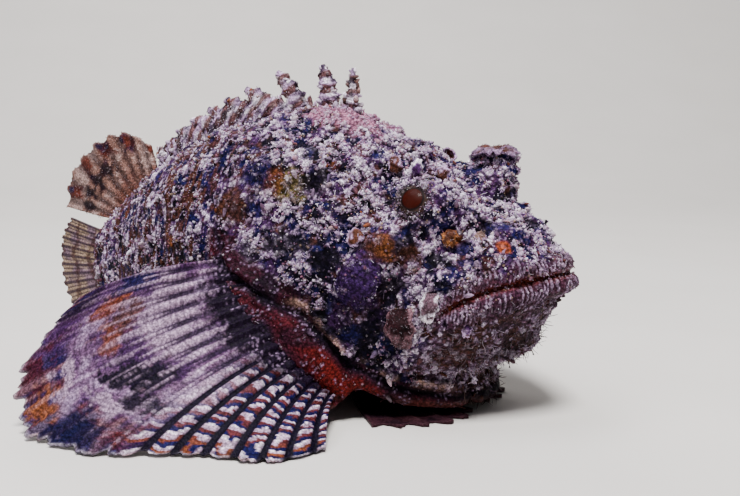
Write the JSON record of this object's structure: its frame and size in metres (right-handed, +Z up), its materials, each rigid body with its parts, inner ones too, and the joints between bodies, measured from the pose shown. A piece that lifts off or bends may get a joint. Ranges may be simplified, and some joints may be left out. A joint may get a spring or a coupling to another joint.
{
  "type": "false stonefish",
  "caption": "Life-size false stonefish resting on its belly: warty humped body, large slanting mouth, raised eyes, spread fan-shaped breast fins and a folded row of back spines.",
  "frame": {"origin": "centre of the bounding box's bottom face, on the floor that the fish lies on", "axes": "+X the way the fish faces, +Y its left side, +Z up"},
  "size_m": [0.2554, 0.2126, 0.1286],
  "materials": {
    "skin": "warty, matt",
    "jaw": "warty, matt",
    "breast_fin": "moist, banded",
    "fin": "moist, mottled",
    "spine": "ragged skin, matt",
    "eye": "wet gloss"
  },
  "bodies": {
    "root": {"head": "skin", "lower_jaw": "jaw", "gill_cover_left": "skin", "gill_cover_right": "skin", "torso": "skin", "tail": "skin", "tail_fin": "fin", "dorsal_spines": "spine", "dorsal_soft_fin": "fin", "anal_fin": "fin", "pectoral_fin_left": "breast_fin", "pectoral_fin_right": "breast_fin", "pelvic_fin_left": "fin", "pelvic_fin_right": "fin", "eye_left": "eye", "eye_right": "eye"}
  },
  "joints": []
}
